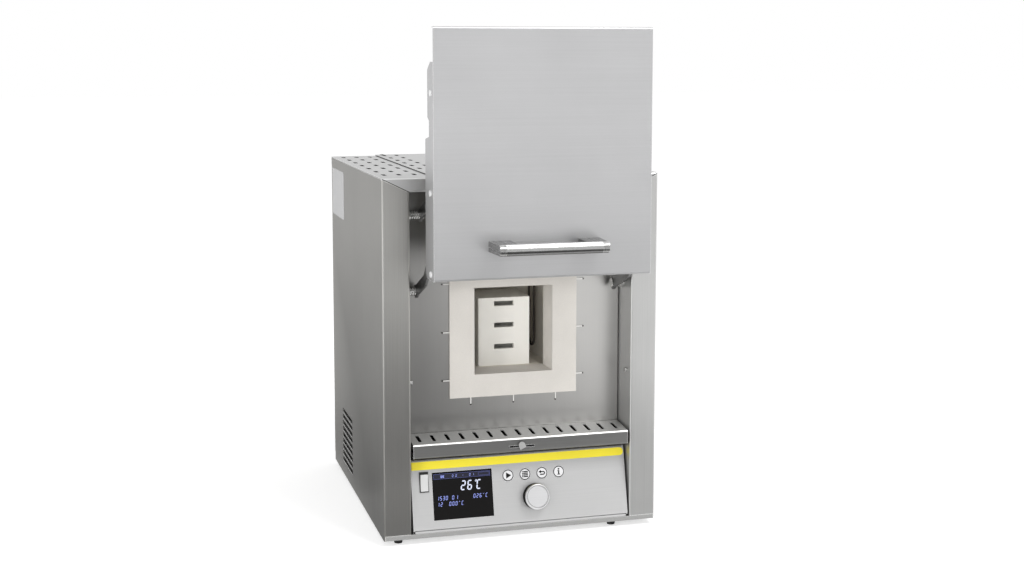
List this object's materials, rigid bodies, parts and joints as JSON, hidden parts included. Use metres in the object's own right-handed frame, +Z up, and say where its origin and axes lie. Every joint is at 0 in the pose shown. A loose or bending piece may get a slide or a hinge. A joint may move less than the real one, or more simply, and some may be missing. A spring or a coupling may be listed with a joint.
{
  "type": "dental lab furnace",
  "caption": "Compact benchtop sintering furnace with a parallel-swing lift door, fibre-lined chamber holding square saggars, and a sloped control panel.",
  "frame": {"origin": "middle of the whole object's box at table level, door open", "axes": "+Z up, -Y towards the user, +X to the user's right"},
  "size_m": [0.385, 0.5756, 0.6922],
  "materials": {
    "brushed_sheet": "satin brushed stainless sheet",
    "pale_sheet": "fine brushed stainless sheet",
    "panel_sheet": "matte light grey panel",
    "stripe_yellow": "satin yellow",
    "turned_steel": "bright turned steel",
    "knob_silver": "satin silver",
    "key_grey": "satin light grey key",
    "display_black": "black glossy window",
    "fibre_white": "matte vacuum-formed fibre board",
    "saggar_ceramic": "matte sintering ceramic",
    "rod_dark": "dark heating rod",
    "arm_steel": "dark zinc-plated steel",
    "clamp_metal": "cast clamp",
    "sheath": "ceramic sheath",
    "black_plastic": "black moulded plastic",
    "foot_rubber": "black rubber",
    "circuit_board": "green circuit board",
    "transformer_iron": "laminated core and winding"
  },
  "bodies": {
    "case": {"base_pan": "pale_sheet", "feet": "foot_rubber", "left_side_panel": "brushed_sheet", "right_side_panel": "brushed_sheet", "roof_panel": "pale_sheet", "roof_cover": "pale_sheet", "rear_panel": "brushed_sheet", "recess_plate": "brushed_sheet", "air_shelf": "pale_sheet", "control_panel": "panel_sheet", "panel_stripe": "stripe_yellow", "display_lens": "display_black", "display_module": "black_plastic", "rocker_frame": "black_plastic", "control_board": "circuit_board", "encoder": "black_plastic", "mouth_collar": "fibre_white", "left_insulation": "fibre_white", "right_insulation": "fibre_white", "roof_insulation": "fibre_white", "floor_insulation": "fibre_white", "rear_insulation": "fibre_white", "inner_casing": "brushed_sheet", "collar_staples": "turned_steel", "heating_rods": "rod_dark", "rod_clamps": "clamp_metal", "thermocouple": "sheath", "exhaust_pipe": "fibre_white", "exhaust_stub": "turned_steel", "stub_ring": "turned_steel", "lower_saggar": "saggar_ceramic", "middle_saggar": "saggar_ceramic", "upper_saggar": "saggar_ceramic", "saggar_lid": "saggar_ceramic", "arm_shafts": "turned_steel", "wall_stop": "turned_steel", "mains_inlet": "black_plastic", "fan_frame": "black_plastic", "fan_guard": "turned_steel", "transformer": "transformer_iron", "power_board": "circuit_board", "case_screws": "turned_steel"},
    "lower_arms": {"lower_arms": "arm_steel"},
    "upper_arms": {"upper_arms": "arm_steel"},
    "door": {"door_skin": "pale_sheet", "door_back_plate": "brushed_sheet", "door_insulation": "fibre_white", "handle_bar": "turned_steel", "handle_posts": "turned_steel", "door_screws": "turned_steel", "door_pins": "turned_steel"},
    "knob": {"control_knob": "knob_silver"},
    "rocker": {"rocker_button": "key_grey"},
    "lever": {"air_lever": "turned_steel"},
    "fan": {"fan_rotor": "black_plastic"},
    "start_key_cap": {"start_key": "key_grey"},
    "menu_key_cap": {"menu_key": "key_grey"},
    "back_key_cap": {"back_key": "key_grey"},
    "info_key_cap": {"info_key": "key_grey"}
  },
  "joints": [
    {"name": "door_lift", "type": "hinge", "parent": "case", "child": "lower_arms", "pos_m": [0, -0.10896, 0.341], "axis": [1, 0, 0], "range_deg": [0, 117.5]},
    {"name": "door_hang", "type": "hinge", "parent": "lower_arms", "child": "door", "pos_m": [0, -0.2261, 0.42302], "axis": [1, 0, 0], "range_deg": [-117.5, 0]},
    {"name": "upper_arm_turn", "type": "hinge", "parent": "case", "child": "upper_arms", "pos_m": [0, -0.10896, 0.444], "axis": [1, 0, 0], "range_deg": [0, 117.5]},
    {"name": "knob_turn", "type": "hinge", "parent": "case", "child": "knob", "pos_m": [0.0196, -0.13317, 0.05251], "axis": [0, -0.974, 0.2267], "continuous": true},
    {"name": "rocker_tip", "type": "hinge", "parent": "case", "child": "rocker", "pos_m": [-0.1352, -0.12338, 0.08134], "axis": [1, 0, 0], "range_deg": [-16, 0]},
    {"name": "air_lever_slide", "type": "slide", "parent": "case", "child": "lever", "axis": [1, 0, 0], "range_m": [-0.013, 0.013]},
    {"name": "fan_spin", "type": "hinge", "parent": "case", "child": "fan", "pos_m": [0.07, 0.27304, 0.096], "axis": [0, 1, 0], "continuous": true},
    {"name": "start_key_press", "type": "slide", "parent": "case", "child": "start_key_cap", "axis": [0, 0.974, -0.2267], "range_m": [0, 0.0006], "stiffness_N_per_m": 1000},
    {"name": "menu_key_press", "type": "slide", "parent": "case", "child": "menu_key_cap", "axis": [0, 0.974, -0.2267], "range_m": [0, 0.0006], "stiffness_N_per_m": 1000},
    {"name": "back_key_press", "type": "slide", "parent": "case", "child": "back_key_cap", "axis": [0, 0.974, -0.2267], "range_m": [0, 0.0006], "stiffness_N_per_m": 1000},
    {"name": "info_key_press", "type": "slide", "parent": "case", "child": "info_key_cap", "axis": [0, 0.974, -0.2267], "range_m": [0, 0.0006], "stiffness_N_per_m": 1000}
  ],
  "couplings": [
    {"joint": "door_hang", "follows": "door_lift", "ratio": -1},
    {"joint": "upper_arm_turn", "follows": "door_lift", "ratio": 1}
  ]
}
